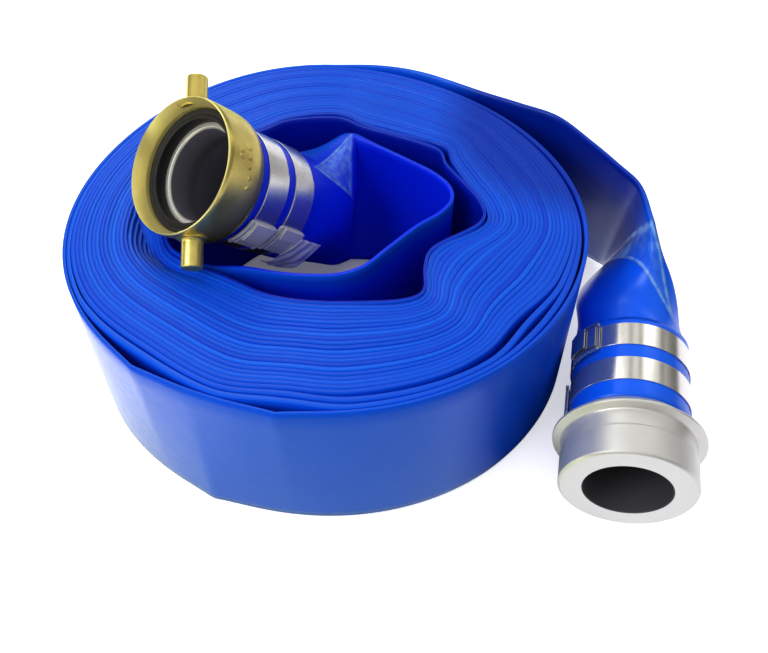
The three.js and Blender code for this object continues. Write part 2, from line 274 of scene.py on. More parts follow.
# Name, place, what it aims at, size, power
LIGHTS = (
    ("key", (-560, -420, 620), (0, 0, 40), (420, 420), 3.25),
    ("back_strip", (-110, 310, 440), (125, -60, 30), (210, 420), 0.38),
    ("side_strip", (443, 324, 366), (125, -60, 30), (130, 420), 0.2),
)
SKY_HORIZON = 0.18
SKY_TOP = 1.0
SKY_DARK_BELOW = 0.15  # sine of the elevation
SKY_BRIGHT_ABOVE = 0.7
SKY_BANDS = {"Scale": 1.3, "Distortion": 1.0, "Detail": 1.0, "Phase Offset": 0.6}
SKY_BAND_SHADES = ((0.12, (0.3, 0.3, 0.31)), (0.4, (1, 1, 1)))
BLACK = (0, 0, 0)
GREY = (0.8, 0.8, 0.8)
FLOOR_SHARE = 0.8  # of the light that falls on the floor, how much it sends back
FLOOR_GLOW = 0.55  # light that the floor adds for the camera only
EYE_GLOW = 0.14  # the same inside the roll's eye
EYE_EDGE = (0.9, 0.95)  # the glow changes under the roll, between these shares of its radius
# What glossy rays see of the floor, tuned, and brightest on the left: share of the way from
# x = -130 mm to x = 130 mm, and colour.
FLOOR_SHINE_SPAN = (-130, 130)
FLOOR_SHINE = (
    (0.00, (0.54, 0.52, 0.40)),
    (0.12, (0.42, 0.42, 0.27)),
    (0.28, (0.26, 0.30, 0.15)),
    (0.55, (0.22, 0.26, 0.14)),
    (0.75, (0.22, 0.25, 0.18)),
    (0.92, (0.31, 0.31, 0.34)),
)
FLOOR_SHINE_STRENGTH = 4.0
SHADE_CENTRE = (112, -55, 0)  # the spot under the male end where glossy rays see black
SHADE_RADIUS = (38, 72)

scene = bpy.context.scene
scene.view_settings.view_transform = "Standard"
scene.view_settings.gamma = 0.8  # deep, saturated shadows
scene.view_settings.exposure = 0.1


def add_camera():
    data = bpy.data.cameras.new("camera")
    data.lens = CAMERA_LENS
    data.sensor_width = 36
    camera = bpy.data.objects.new("camera", data)
    back = Vector((0, -math.cos(CAMERA_ELEVATION), math.sin(CAMERA_ELEVATION)))
    camera.location = placed(CAMERA_AIM + back * CAMERA_DISTANCE)
    camera.rotation_euler = (math.pi / 2 - CAMERA_ELEVATION, 0, 0)
    data.clip_start = 0.01
    scene.collection.objects.link(camera)
    scene.camera = camera


def add_area_light(name, place, aim, size, power):
    data = bpy.data.lights.new(name, "AREA")
    data.shape = "RECTANGLE"
    data.size, data.size_y = (s * MM for s in size)
    data.energy = power
    light = bpy.data.objects.new(name, data)
    light.location = placed(place)
    light.rotation_euler = (placed(aim) - placed(place)).to_track_quat("-Z", "Y").to_euler()
    scene.collection.objects.link(light)


def add_world():
    """Soft light from above: dim at the horizon, bright overhead, with a few darker bands that the
    metal picks up."""
    world = bpy.data.worlds.new("studio")
    scene.world = world
    world.use_nodes = True
    sky = Nodes(world.node_tree)
    direction = sky.node("ShaderNodeTexCoord").outputs["Generated"]
    upward = sky.node("ShaderNodeSeparateXYZ", {"Vector": direction}).outputs["Z"]
    height = sky.node(
        "ShaderNodeMapRange",
        {
            "Value": upward, "From Min": SKY_DARK_BELOW, "From Max": SKY_BRIGHT_ABOVE,
            "To Min": SKY_HORIZON, "To Max": SKY_TOP,
        },
        interpolation_type="SMOOTHSTEP",
    )
    bands = sky.node("ShaderNodeTexWave", {"Vector": direction, **SKY_BANDS}, bands_direction="X")
    background = sky.nodes["Background"]
    sky.links.new(sky.ramp(bands.outputs["Color"], SKY_BAND_SHADES), background.inputs["Color"])
    sky.links.new(height.outputs["Result"], background.inputs["Strength"])
    # The camera alone sees a white backdrop behind the floor's edge.
    backdrop = sky.node("ShaderNodeBackground", {"Color": (1, 1, 1, 1)}).outputs["Background"]
    seen = sky.node("ShaderNodeLightPath").outputs["Is Camera Ray"]
    mixed = sky.node(
        "ShaderNodeMixShader", {"Fac": seen, 1: background.outputs["Background"], 2: backdrop}
    )
    sky.links.new(mixed.outputs["Shader"], sky.nodes["World Output"].inputs["Surface"])


def add_floor():
    bpy.ops.mesh.primitive_plane_add(size=12)
    floor = bpy.context.object
    floor.name = "floor"
    floor.location = (0, 0, -0.0005)
    look = Look("floor", GREY, 0.9, Specular_IOR_Level=0.1)
    rays = look.node("ShaderNodeLightPath")
    seen, mirrored = rays.outputs["Is Camera Ray"], rays.outputs["Is Glossy Ray"]
    place = look.position()

    def away_from(point, near, far):
        distance = look.vector_number("DISTANCE", place, placed(point))
        return look.remap(distance, (near * MM, far * MM))

    across = look.node("ShaderNodeSeparateXYZ", {"Vector": place}).outputs["X"]
    span = [placed((x, 0, 0)).x for x in FLOOR_SHINE_SPAN]
    stops = [(at, [FLOOR_SHINE_STRENGTH * c for c in colour]) for at, colour in FLOOR_SHINE]
    shine = look.ramp(look.remap(across, span), stops)
    shine = look.mix(away_from(SHADE_CENTRE, *SHADE_RADIUS), BLACK, shine)
    # The camera, glossy rays and other rays each see the floor differently; for the others it has
    # no light of its own.
    glow = look.mix(mirrored, look.mix(seen, BLACK, (FLOOR_GLOW,) * 3), shine)
    eye = look.mix(seen, BLACK, (EYE_GLOW,) * 3)
    outside = away_from((0, 0, 0), *(share * ROLL_RADIUS for share in EYE_EDGE))
    look.drive("Emission Color", look.mix(outside, eye, glow))
    look.set("Emission Strength", 1)
    look.drive("Base Color", look.mix(mirrored, (FLOOR_SHARE,) * 3, BLACK))
    floor.data.materials.append(look.material)


add_camera()
add_world()
add_floor()
for light in LIGHTS:
    add_area_light(*light)

# ---- materials ----

# Where the tails are crumpled: the three corners of each pane, the direction from the crease that the
# pane lies in, how white its ridges are (crease whitening and painted highlight), its inside's painted
# highlight, and how far its middle stands out
CRUMPLES = (
    (((10, 58, 86), (-6, 24, 93), (10, 29, 70)), (-1, 0, 0), 1.0, 0.6, 12),
    (((153, -7, 86), (146, 6, 48), (164, -38, 55)), (0, -1, -0.554), 1.6, 0.3, 14),
)
PANE_VIEW = Vector((0, -0.64, 0.77))
PANE_REACH = 45.0
RIDGE_WIDTH = (0.2, 1.1)
CREASE_SLACK = 3.0  # how far behind a pane's first corner it may still reach

FOLD_EDGE = (4.0, 11.0)  # from a fold, where the skin turns from dull to glossy
INNER_SHADE_END = (800, 1700)  # along the hose, where the painted shade's darker blue gives way to the usual one
# along the hose, where the purer blue by the female cuff turns into the painted shade's darker blue
INNER_SHADE_START = (360, 480)
TAIL_SHADE_MIDDLE = (125, 66, 45)
TAIL_SHADE_EDGE = (66, 84)  # how far from its middle the painted shade's deeper blue on the tail reaches
# how far from the middle of the sleeve behind the male end its painted light reaches
SLEEVE_LIGHT_EDGE = (46, 58)


def pane(look, corners, from_crease):
    """A flat pane of crumpled skin. Its three corners are in mm in the roll's frame, as seen from
    the front and above. Gives its inside, its ridges, and the height over its first side."""
    place = look.position()
    corners = [placed(corner) / MM for corner in corners]
    middle = sum(corners, Vector()) / 3
    heights = []
    for here, following in zip(corners, corners[1:] + corners[:1]):
        side = (following - here).cross(PANE_VIEW).normalized()
        if side.dot(middle - here) < 0:
            side = -side
        reach = look.vector_number("DOT_PRODUCT", place, side / MM)
        heights.append(look.number("SUBTRACT", reach, side.dot(here)))
    nearest = look.number("MINIMUM", look.number("MINIMUM", *heights[:2]), heights[2])
    distance = look.vector_number("DISTANCE", place, middle * MM)
    near = look.number("LESS_THAN", distance, PANE_REACH * MM)
    from_crease = Vector(from_crease)
    ahead = look.vector_number("DOT_PRODUCT", place, from_crease / MM)
    ahead = look.number("GREATER_THAN", ahead, from_crease.dot(corners[0]) - CREASE_SLACK)
    near = look.product(near, ahead)
    inside = look.remap(nearest, (0, 1))
    ridge = look.remap(look.number("ABSOLUTE", nearest), RIDGE_WIDTH, (1, 0))
    high = look.remap(nearest, (0, PANE_REACH))
    return [look.product(part, near) for part in (inside, ridge, high)]


def hose_look():
    """Glossy blue PVC skin over a yarn layer whose ribs show through, duller on the creased folds.
    UVs are in mm: u runs along the hose and v round it, from one fold."""
    look = Look("hose_pvc", (0.002, 0.06, 0.66), 0.42, Specular_IOR_Level=0.3)
    look.set("Specular Tint", (0.35, 0.8, 1.0, 1))
    look.set("Coat Roughness", 0.24)
    uv = look.coordinates("UV")
    place = look.place_in_mm()
    patches = look.noise(place, 0.25, 3)
    batch = look.noise(look.coordinates("UV", (0.0012, 0, 0)), 1.0, 2)
    turn_by_turn = look.ramp(batch, ((0.35, (0, 0, 0)), (0.65, (1, 1, 1))))
    colour = look.mix(look.noise(place, 0.03, 2), (0.0012, 0.05, 0.56), (0.002, 0.075, 0.70))
    colour = look.mix(turn_by_turn, colour, (0.004, 0.15, 0.82))
    colour = look.mix(look.remap(patches, (0, 1), (0, 0.3)), colour, (0.004, 0.13, 0.80))
    axes = look.node("ShaderNodeSeparateXYZ", {"Vector": uv})
    along, around = axes.outputs["X"], axes.outputs["Y"]
    face = look.remap(look.number("PINGPONG", around, GIRTH / 2), FOLD_EDGE)
    # Painted shade: down in the roll's eye, the faces of the inner end are a darker blue from the first
    # turn on; before it, by the female cuff, they are a purer blue.
    inner_end_shade = look.product(face, look.remap(along, INNER_SHADE_END, (1, 0)))
    deep = look.mix(look.remap(along, INNER_SHADE_START), (0.001, 0.03, 0.88), (0.0008, 0.016, 0.48))
    colour = look.mix(inner_end_shade, colour, deep)

    def close_to(point, edge):
        distance = look.vector_number("DISTANCE", place, placed(point) / MM)
        return look.remap(distance, edge, (1, 0))

    # Painted shade: the faces near the middle of the outer tail are a deeper blue as well.
    tail_shade = look.product(close_to(TAIL_SHADE_MIDDLE, TAIL_SHADE_EDGE), face)
    colour = look.mix(tail_shade, colour, (0.001, 0.032, 0.42))
    # Painted light: the sleeve behind the male end is paler, lifting it out of the roll's shadow.
    sleeve = MALE @ Vector((0, 0, -MALE_SHANK_END))
    colour = look.mix(close_to(sleeve, SLEEVE_LIGHT_EDGE), colour, (0.006, 0.16, 0.95))
    look.drive("Coat Weight", look.product(face, 0.5))
    look.drive("Roughness", look.remap(patches, (0, 1), (0.36, 0.5)))
    look.bump(look.wave(uv, 0.36, "Y", 0.4), 0.04, 0.3)
    look.bump(look.wave(uv, 0.28, "DIAGONAL", 0.3), 0.03, 0.25)
    look.bump(look.noise(place, 0.12, 2), 0.6, 0.25)
    for corners, from_crease, ridge_whitening_and_highlight, inside_highlight, tilt in CRUMPLES:
        inside, ridge, slope = pane(look, corners, from_crease)
        blotches = look.remap(look.noise(place, 0.22, 4), (0.4, 0.65), (0.35, 1))
        white = [look.product(ridge, ridge_whitening_and_highlight), look.product(inside, inside_highlight)]
        marks = look.product(look.number("MAXIMUM", *white), blotches)
        # Painted highlight: pale blue on the pane's inside, and on its ridges, which also carry real
        # whitening of creased PVC.
        colour = look.mix(marks, colour, (0.26, 0.5, 0.95))
        look.bump(slope, tilt, 1.0)
        look.bump(ridge, 0.8, 0.8)
    look.drive("Base Color", colour)
    return look.material


# A dull dark finish: the hose's lining, and painted shade in the shank bores.
def lining_and_painted_shade_look(name, colour):
    look = Look(name, colour, 0.6)
    look.bump(look.noise(look.place_in_mm(), 0.8, 2), 0.1, 0.4)
    return look.material


def cast_look(name, light, dark, roughness, grain_mm, depth_mm):
    """Cast metal, tumbled: fine grain, cloudy colour and a gloss that varies with the grain."""
    look = Look(name, light, roughness, 0.82)
    place = look.place_in_mm()
    cloud = look.noise(place, 0.09, 4)
    grain = look.noise(place, 1 / grain_mm, 3)
    clouded = look.ramp(cloud, ((0.35, (0, 0, 0)), (0.65, (1, 1, 1))))
    look.drive("Base Color", look.mix(clouded, dark, light))
    look.drive("Roughness", look.remap(grain, (0, 1), (roughness - 0.08, roughness + 0.1)))
    look.bump(grain, depth_mm, 0.5)
    look.bump(cloud, 0.25, 0.25)
    return look.material


RING_SCALE = 1.427847  # of the wave texture that draws the fine rings of turned metal


def machined_look(name, colour, roughness, metallic):
    """Turned metal: fine rings that follow the cut. UV v is the distance along the profile, in mm."""
    look = Look(name, colour, roughness, metallic, Anisotropic=0.5)
    rings = look.wave(look.coordinates("UV"), RING_SCALE, "Y", 0.2)
    cloud = look.noise(look.place_in_mm(), 0.15, 3)
    look.drive("Roughness", look.remap(cloud, (0, 1), (roughness - 0.06, roughness + 0.08)))
    look.bump(rings, 0.004, 0.25)
    return look.material


def rubber_look():
    look = Look("gasket_rubber", (0.018, 0.018, 0.022), 0.55)
    place = look.place_in_mm()
    look.drive("Roughness", look.remap(look.noise(place, 0.5, 3), (0, 1), (0.42, 0.7)))
    look.bump(look.noise(place, 1.6, 3), 0.05, 0.4)
    return look.material


def steel_look(name, colour, metallic):
    """Bright rolled strip with faint lines along its length. UV u runs along the strip, in mm."""
    look = Look(name, colour, 0.2, metallic)
    lines = look.noise(look.coordinates("UV", (0.04, 5, 1)), 1.0, 3)
    place = look.place_in_mm()
    look.drive("Roughness", look.remap(look.noise(place, 0.2, 3), (0, 1), (0.14, 0.28)))
    look.bump(lines, 0.01, 0.5)
    return look.material


HOSE_PVC = hose_look()
HOSE_LINING = lining_and_painted_shade_look("hose_lining", (0.03, 0.03, 0.035))
BRASS_CAST = cast_look("nut_brass", (0.78, 0.66, 0.22), (0.62, 0.50, 0.15), 0.32, 0.7, 0.035)
BRASS_CUT = machined_look("nut_brass_cut", (0.98, 0.87, 0.36), 0.32, 0.58)
ALUMINIUM_CUT = machined_look("shank_aluminium", (0.72, 0.71, 0.67), 0.42, 0.62)
# Painted shade: the shank bores are dark and dull, a stand-in for the shade inside them.
BORE_PAINTED_SHADE = lining_and_painted_shade_look("shank_bore", (0.09, 0.09, 0.10))
BORE_GREY_PAINTED_SHADE = lining_and_painted_shade_look("shank_bore_grey", (0.20, 0.20, 0.26))
RUBBER = rubber_look()
STEEL = steel_look("band_steel", (0.74, 0.72, 0.66), 0.88)
BUCKLE_STEEL_PAINTED_LIGHT = steel_look("buckle_steel_painted_light", (0.95, 0.95, 0.90), 0.3)  # painted light: a lighter copy of the band steel that mirrors less, so the female end's buckles show bright in the nut's shade
FILM = Look("clear_film", (0.95, 0.97, 1.0), 0.2, Alpha=0.6, IOR=1.45).material

# ---- mesh helpers ----


def make_object(name, points, faces, materials, face_materials=None, uvs=None, body="hose"):
    """points in mm in the roll frame; uvs is one (u, v) for each corner of each face."""
    mesh = bpy.data.meshes.new(name)
    placed_points = (np.asarray(points, float) + np.array(ROLL_CENTRE)) * MM
    mesh.from_pydata(placed_points.tolist(), [], faces)
    for material in materials:
        mesh.materials.append(material)
    if face_materials is not None:
        mesh.polygons.foreach_set("material_index", face_materials)
    if uvs is not None:
        layer = mesh.uv_layers.new(name="UVMap")
        layer.data.foreach_set("uv", np.asarray(uvs, float).ravel())
    mesh.polygons.foreach_set("use_smooth", [True] * len(mesh.polygons))
    mesh.update()
    made = bpy.data.objects.new(name, mesh)
    scene.collection.objects.link(made)
    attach(made, body)
    return made


def sharpen(obj, degrees=34):
    """Keeps edges sharper than the angle crisp, and the rest smooth."""
    work = bmesh.new()
    work.from_mesh(obj.data)
    limit = math.radians(degrees)
    for edge in work.edges:
        edge.smooth = len(edge.link_faces) != 2 or edge.calc_face_angle() < limit
    work.to_mesh(obj.data)
    work.free()


def apply_modifiers(obj):
    graph = bpy.context.evaluated_depsgraph_get()
    result = bpy.data.meshes.new_from_object(obj.evaluated_get(graph))
    obj.modifiers.clear()
    obj.data = result


def tube_faces(rings, count, first=0):
    """The sides between rings of count points each, and a cap on both ends."""
    faces = []
    for i in range(rings - 1):
        here, following = first + i * count, first + (i + 1) * count
        for j in range(count):
            k = (j + 1) % count
            faces.append((here + j, here + k, following + k, following + j))
    last = first + (rings - 1) * count
    faces.append(tuple(range(first, first + count))[::-1])
    faces.append(tuple(range(last, last + count)))
    return faces


def around_axis(angle, radius=1.0, behind=0.0):
    """A point in a fitting's own frame."""
    return Vector((radius * math.cos(angle), radius * math.sin(angle), -behind))


def rounded(profile, radius=0.4, steps=3):
    """A closed outline with each corner turned into a small arc. A corner may carry its own
    radius as its third value, and its fourth is the material of the side that follows it."""
    made = []
    count = len(profile)
    for i, corner in enumerate(profile):
        here = Vector(corner[:2])
        bend = corner[2] if len(corner) > 2 and corner[2] is not None else radius
        paint = corner[3] if len(corner) > 3 else 0
        before = Vector(profile[i - 1][:2]) - here
        after = Vector(profile[(i + 1) % count][:2]) - here
        cut = min(bend, before.length * 0.45, after.length * 0.45)
        if cut < 0.02:
            made.append((here.x, here.y, paint))
            continue
        start = here + before.normalized() * cut
        end = here + after.normalized() * cut
        for k in range(steps + 1):
            t = k / steps
            point = start * (1 - t) ** 2 + here * 2 * t * (1 - t) + end * t ** 2
            made.append((point.x, point.y, paint))
    return made


def turned(name, profile, matrix, materials, sides=128, body="hose", radius=0.4, wobble=None):
    """Solid of revolution from a closed profile of (radius, distance behind the face) corners."""
    outline = rounded(profile, radius)
    count = len(outline)
    lengths = [0.0]
    for i in range(count):
        a, b = outline[i], outline[(i + 1) % count]
        lengths.append(lengths[-1] + math.dist(a[:2], b[:2]))
    points, faces, uvs, paints = [], [], [], []
    for j in range(sides):
        angle = TAU * j / sides
        for r, behind, _ in outline:
            if wobble:
                r, behind = wobble(r, behind, angle)
            points.append(matrix @ around_axis(angle, r, behind))
    mean_radius = 30.0  # turns angles into lengths for the UVs
    for j in range(sides):
        k = (j + 1) % sides
        u0, u1 = TAU * j / sides * mean_radius, TAU * (j + 1) / sides * mean_radius
        for i in range(count):
            n = (i + 1) % count
            faces.append((j * count + i, k * count + i, k * count + n, j * count + n))
            uvs += [(u0, lengths[i]), (u1, lengths[i]), (u1, lengths[i + 1]), (u0, lengths[i + 1])]
            paints.append(int(outline[i][2]))
    return make_object(name, points, faces, materials, paints, uvs, body)


# ---- hose ----

SIDE_POINTS = 12  # along each flat side of the section
FOLD_POINTS = 5  # round each fold
FOLD_CROWN = 0.15  # how high a fold's arc is, as a share of half the thickness
FOLD_SQUARENESS = 0.4  # 1 for a round fold, 0 for a square one
LUMEN_END_OPENNESS = 0.12


def lumen_order(count):
    """Reversing the rows mirrors a section, so its points are taken in the mirrored order."""
    return [(FOLD_POINTS - 1 - j) % count for j in range(count)]


def catmull_rom(points, samples, power=0.0):
    """Catmull-Rom curve through rows of numbers: uniform when power is 0, centripetal at 0.5."""
    rows = np.asarray(points, float)
    padded = np.vstack([2 * rows[0] - rows[1], rows, 2 * rows[-1] - rows[-2]])
    knots = np.concatenate([[0], np.cumsum(np.linalg.norm(np.diff(padded, axis=0), axis=1) ** power)])
    made = []
    for i in range(1, len(padded) - 2):
        a, b, c, d = padded[i - 1 : i + 3]
        ta, tb, tc, td = knots[i - 1 : i + 3]
        t = (tb + (tc - tb) * np.arange(samples) / samples)[:, None]
        ab = a + (b - a) * (t - ta) / (tb - ta)
        bc = b + (c - b) * (t - tb) / (tc - tb)
        cd = c + (d - c) * (t - tc) / (td - tc)
        abc = ab + (bc - ab) * (t - ta) / (tc - ta)
        bcd = bc + (cd - bc) * (t - tb) / (td - tb)
        made.append(abc + (bcd - abc) * (t - tb) / (tc - tb))
    made.append(rows[-1:])
    return np.vstack(made)


def creased_curve(rows, crease, samples=10):
    """Two curves that meet at the crease row at an angle."""
    return np.vstack([
        catmull_rom(rows[: crease + 1], samples, 0.5)[:-1],
        catmull_rom(rows[crease:], samples, 0.5),
    ])


def eye_radius_table():
    curve = catmull_rom(EYE_POINTS[-2:] + EYE_POINTS + EYE_POINTS[:3], 12)
    angles = np.arctan2(curve[:, 1], curve[:, 0]) % TAU
    radii = np.hypot(curve[:, 0], curve[:, 1])
    order = np.argsort(angles)
    return angles[order], radii[order]


EYE_ANGLES, EYE_RADII = eye_radius_table()
EYE_MEAN_RADIUS = float(np.mean(EYE_RADII))


def eye_radius(angle):
    return np.interp(angle % TAU, EYE_ANGLES, EYE_RADII, period=TAU)


def widths_away(angle, centre_degrees, width_degrees):
    gap = np.abs((angle - math.radians(centre_degrees) + math.pi) % TAU - math.pi)
    return gap / math.radians(width_degrees)


def swell(angle, centre, width):
    """1 at an angle, falling smoothly to 0 a width away on each side."""
    share = np.clip(1 - widths_away(angle, centre, width), 0, 1)
    return share * share * (3 - 2 * share)


def cusp(angle, centre, width):
    """1 at an angle, with a sharp peak there."""
    return np.exp(-widths_away(angle, centre, width))


# Where turns stand apart near the outside: turns outside the gap, degrees, width and size in mm
OUTER_GAPS = (
    (1, 229, 24, 3.6),
    (1, 262, 16, 3.0),
    (2, 270, 40, 1.2),
    (3, 300, 55, 2.6),
    (3, 318, 22, 2.6),
    (2, 323, 14, 2.6),
    (1, 15, 60, 2.4),
    (2, 222, 40, 1.2),
)
# the same near the eye, with the turns inside the gap
INNER_GAPS = (
    (1, 350, 12, 2.6),
    (1, 38, 24, 3.2),
    (2, 62, 22, 2.0),
    (1, 90, 26, 2.2),
    (1, 300, 20, 1.4),
)
# Kinks in the top and bottom edges: turns from the end, degrees, width and size in mm
TOP_KINKS = ((1.25, 230, 5, 2.4), (1.6, 262, 4, 1.8))
BOTTOM_KINKS = ((1.4, 243, 5, 2.4),)
TURN_GAP = 0.04
THICKNESS_RANGE = (0.8 * HOSE_THICKNESS, 1.5 * HOSE_THICKNESS)  # soft turns fill loose places
EDGE_HEIGHT = 0.6  # of the lower edges over the floor, on average
EDGE_WANDER = 0.4  # how far they rise and fall from there


def spiral_radius(turn, kinks=TOP_KINKS):
    """Distance of the hose's middle from the roll's axis, at a number of turns from the inside."""
    angle = ROLL_START - turn * TAU
    inner = eye_radius(angle) + HOSE_THICKNESS / 2
    outer = roll_radius(angle) - HOSE_THICKNESS / 2
    left = TURNS - turn
    share = np.clip(turn / TURNS, 0, 1)
    radius = inner + (outer - inner) * share
    for outside, centre, width, size in OUTER_GAPS:
        pressed = np.clip(left - outside + 0.5, 0, 1)
        radius = radius - size * swell(angle, centre, width) * pressed * share
    for inside, centre, width, size in INNER_GAPS:
        pressed = np.clip(turn - inside + 0.5, 0, 1)
        radius = radius + size * swell(angle, centre, width) * pressed * (1 - share)
    for before, centre, width, size in kinks:
        radius = radius + size * cusp(angle, centre, width) * np.clip(before - left, 0, 1)
    return radius


def roll_rows(step=2.6):
    """Rows of top point, bottom point, openness and thickness for the roll, from inside out."""
    turns = [0.0]
    while turns[-1] < TURNS:
        mean_radius = EYE_MEAN_RADIUS + (ROLL_RADIUS - EYE_MEAN_RADIUS) * turns[-1] / TURNS
        turns.append(turns[-1] + step / (TAU * mean_radius))
    turns = np.array(turns[:-1])
    angle = ROLL_START - turns * TAU
    radius = spiral_radius(turns)
    room = np.minimum(spiral_radius(turns + 1) - radius, radius - spiral_radius(turns - 1))
    thickness = np.clip(room - TURN_GAP, *THICKNESS_RANGE)
    wave = 0.6 * np.sin(turns * TAU / 5.1 + 0.7) + 0.12 * np.sin(turns * 11.7)
    wave = wave + 0.25 * np.sin(2.2 * angle + 0.9 * turns)
    bottom = EDGE_HEIGHT + EDGE_WANDER * wave
    top = bottom + HOSE_WIDTH - EDGE_HEIGHT
    foot = spiral_radius(turns, BOTTOM_KINKS)
    x, y = np.cos(angle), np.sin(angle)
    columns = (radius * x, radius * y, top, foot * x, foot * y, bottom, 0 * x, thickness)
    return np.stack(columns, axis=1)


HOLLOW_AT = (-75, -20)  # the middle of the shallow hollow in the roll's top, under the nut
HOLLOW_REACH = 60
HOLLOW_FLOOR = 60  # no top edge goes lower
HOLLOW_BLEND = 9  # rows on each side of a row that share its drop


def lug_clearance_drop(rows):
    """Lowers the top edges of the turns that lie under the path of the nut's lugs."""
    inverse = np.array(FEMALE.inverted())
    lowered = rows.copy()
    reach, half = LUG_REACH + 1.6, LUG_RADIUS + 1.8
    step = 0.25
    for i, row in enumerate(rows):
        if math.dist(row[:2], HOLLOW_AT) > HOLLOW_REACH:
            continue
        top = row[2]
        while top > HOLLOW_FLOOR:
            local = inverse @ np.array([row[0], row[1], top, 1])
            away = math.hypot(local[0], local[1])
            over = abs(local[2] + LUG_AT) - half
            if away > reach or over > 0 and away > NUT_RADIUS + 1:
                break
            top -= step
        lowered[i, 2] = top
    kernel = np.hanning(2 * HOLLOW_BLEND + 1)
    kernel /= kernel.sum()
    drop = rows[:, 2] - lowered[:, 2]
    smooth = np.convolve(drop, kernel, "same")
    lowered[:, 2] = rows[:, 2] - np.maximum(drop, smooth)
    return lowered


def cuff_rows(matrix, first, last, fold, step=2.0):
    """Round rows along a fitting's axis, from one distance behind its face to another. The hose's
    folds lie along a direction across that axis."""
    count = max(2, int(abs(last - first) / step))
    reach = Vector((*fold, 0)) * HOSE_RADIUS
    rows = []
    for behind in np.linspace(first, last, count):
        top = matrix @ (reach - Vector((0, 0, behind)))
        bottom = matrix @ (-reach - Vector((0, 0, behind)))
        rows.append((*top, *bottom, 1.0, HOSE_THICKNESS))
    return rows


TAIL_TOP = 86.6
TAIL_BOTTOM = 0.6


def upright(x, y):
    return (x, y, TAIL_TOP, x, y, TAIL_BOTTOM, 0.0)


# Top fold, bottom fold and openness. They follow the CAD model's rows.
INNER_TAIL = (
    (1, 45, 85.5, -20, 26, 28, 0.8),
    (9, 57, 86, -4, 42, 7, 0.4),
    (12, 57, TAIL_TOP, 7, 51, 2, 0.14),
    (22, 49.5, TAIL_TOP, 22, 50, 1, 0.03),
    upright(38, 38), upright(52, 27), upright(59, 17), upright(59.5, 8), upright(54, -0.5),
    upright(43, -9.5), upright(30, -23), upright(17, -36.5), upright(6, -41), upright(-7, -41.5),
    upright(-21, -40), upright(-35, -37),
)
INNER_CREASE = 2
OUTER_TAIL = (
    upright(25, 117.6), upright(47, 111.8), upright(82, 92.5), upright(100, 83), upright(118, 72.5),
    (133, 51.5, TAIL_TOP, 137, 61, TAIL_BOTTOM, 0),
    (144, 34.5, 86, 147, 53.5, 0.8, 0),
    (152, 19.5, 86, 152, 46, 3, 0),
    (153.5, -7, 86, 152.5, 34, 12, 0.03),
    (155.5, -18, 78, 143, 22, 12, 0.22),
    (160.5, -26, 66, 135, 1, 20, 0.58),
)
OUTER_CREASE = 8


def hose_rows():
    """The rows of the whole hose, and which of them are creases."""
    roll = lug_clearance_drop(roll_rows())
    upward, level = (0, 1), (1, 0)
    female = cuff_rows(FEMALE, FEMALE_CUFF_AT, FEMALE_SHANK_END + CUFF_OVERLAP, upward)
    male = cuff_rows(MALE, MALE_SHANK_END + CUFF_OVERLAP, MALE_CONE_END + 0.3, level)
    join = 5  # rows of the roll that the tail's curve is led by
    inner_tail = [(*station, HOSE_THICKNESS) for station in INNER_TAIL]
    outer_tail = [(*station, HOSE_THICKNESS) for station in OUTER_TAIL]
    samples = 10
    inner = [female[-4], female[-1], *inner_tail, roll[0], roll[join]]
    inner = creased_curve(inner, INNER_CREASE + 2, samples)[samples:-samples]
    outer = [roll[-join], roll[-1], *outer_tail, male[0], male[3]]
    outer = creased_curve(outer, OUTER_CREASE + 2, samples)[samples:-samples]
    rows = np.vstack([female[:-1], inner[:-1], roll, outer[1:-1], male])
    inner_crease = len(female) - 1 + (INNER_CREASE + 1) * samples
    outer_crease = len(rows) - len(male) - (len(outer_tail) - OUTER_CREASE) * samples
    return rows, (inner_crease, outer_crease)


def section(openness, tall, thickness):
    """Outer outline of the hose's section as (across, up) pairs from the top fold round: flat with
    two folds when openness is 0, a circle when it is 1."""
    half = thickness / 2
    crown = FOLD_CROWN * half
    straight = tall - crown
    one_side = []
    for k in range(FOLD_POINTS):  # over the top fold, from the far side to the near side
        turn = math.pi * (k + 0.5) / FOLD_POINTS
        out = math.copysign(abs(math.cos(turn)) ** FOLD_SQUARENESS, math.cos(turn))
        one_side.append((-half * out, straight + crown * math.sin(turn)))
    for k in range(SIDE_POINTS):
        one_side.append((half, straight * (1 - 2 * (k + 0.5) / SIDE_POINTS)))
    flat = np.array(one_side + [(-x, -y) for x, y in one_side])
    count = len(flat)
    angles = math.pi / 2 - TAU * (np.arange(count) - (FOLD_POINTS - 1) / 2) / count
    circle = np.stack([HOSE_RADIUS * np.cos(angles), tall * np.sin(angles)], axis=1)
    return flat * (1 - openness) + circle * openness


def hose_skin(rows, shrink=0.0):
    """Ring points of the hose's wall, shrink mm inside its outer face."""
    top, bottom, openness = rows[:, 0:3], rows[:, 3:6], rows[:, 6]
    centre = (top + bottom) / 2
    ahead = np.gradient(centre, axis=0)
    up = top - bottom
    tall = np.linalg.norm(up, axis=1) / 2
    up = up / (2 * tall[:, None])
    across = np.cross(ahead, up)
    across /= np.linalg.norm(across, axis=1)[:, None]
    rings = []
    for i in range(len(rows)):
        outline = section(openness[i], tall[i], rows[i, 7])
        if shrink:
            reach = np.hypot(outline[:, 0], outline[:, 1])
            outline = outline * (1 - shrink * openness[i] / reach)[:, None]
        rings.append(centre[i] + outline[:, :1] * across[i] + outline[:, 1:] * up[i])
    return np.array(rings)


def open_end(rows):
    """The inner skin of an open end, from its mouth to where the hose lies nearly flat."""
    closed = int(np.argmax(rows[:, 6] < LUMEN_END_OPENNESS))
    return hose_skin(rows[: closed + 1], HOSE_WALL)


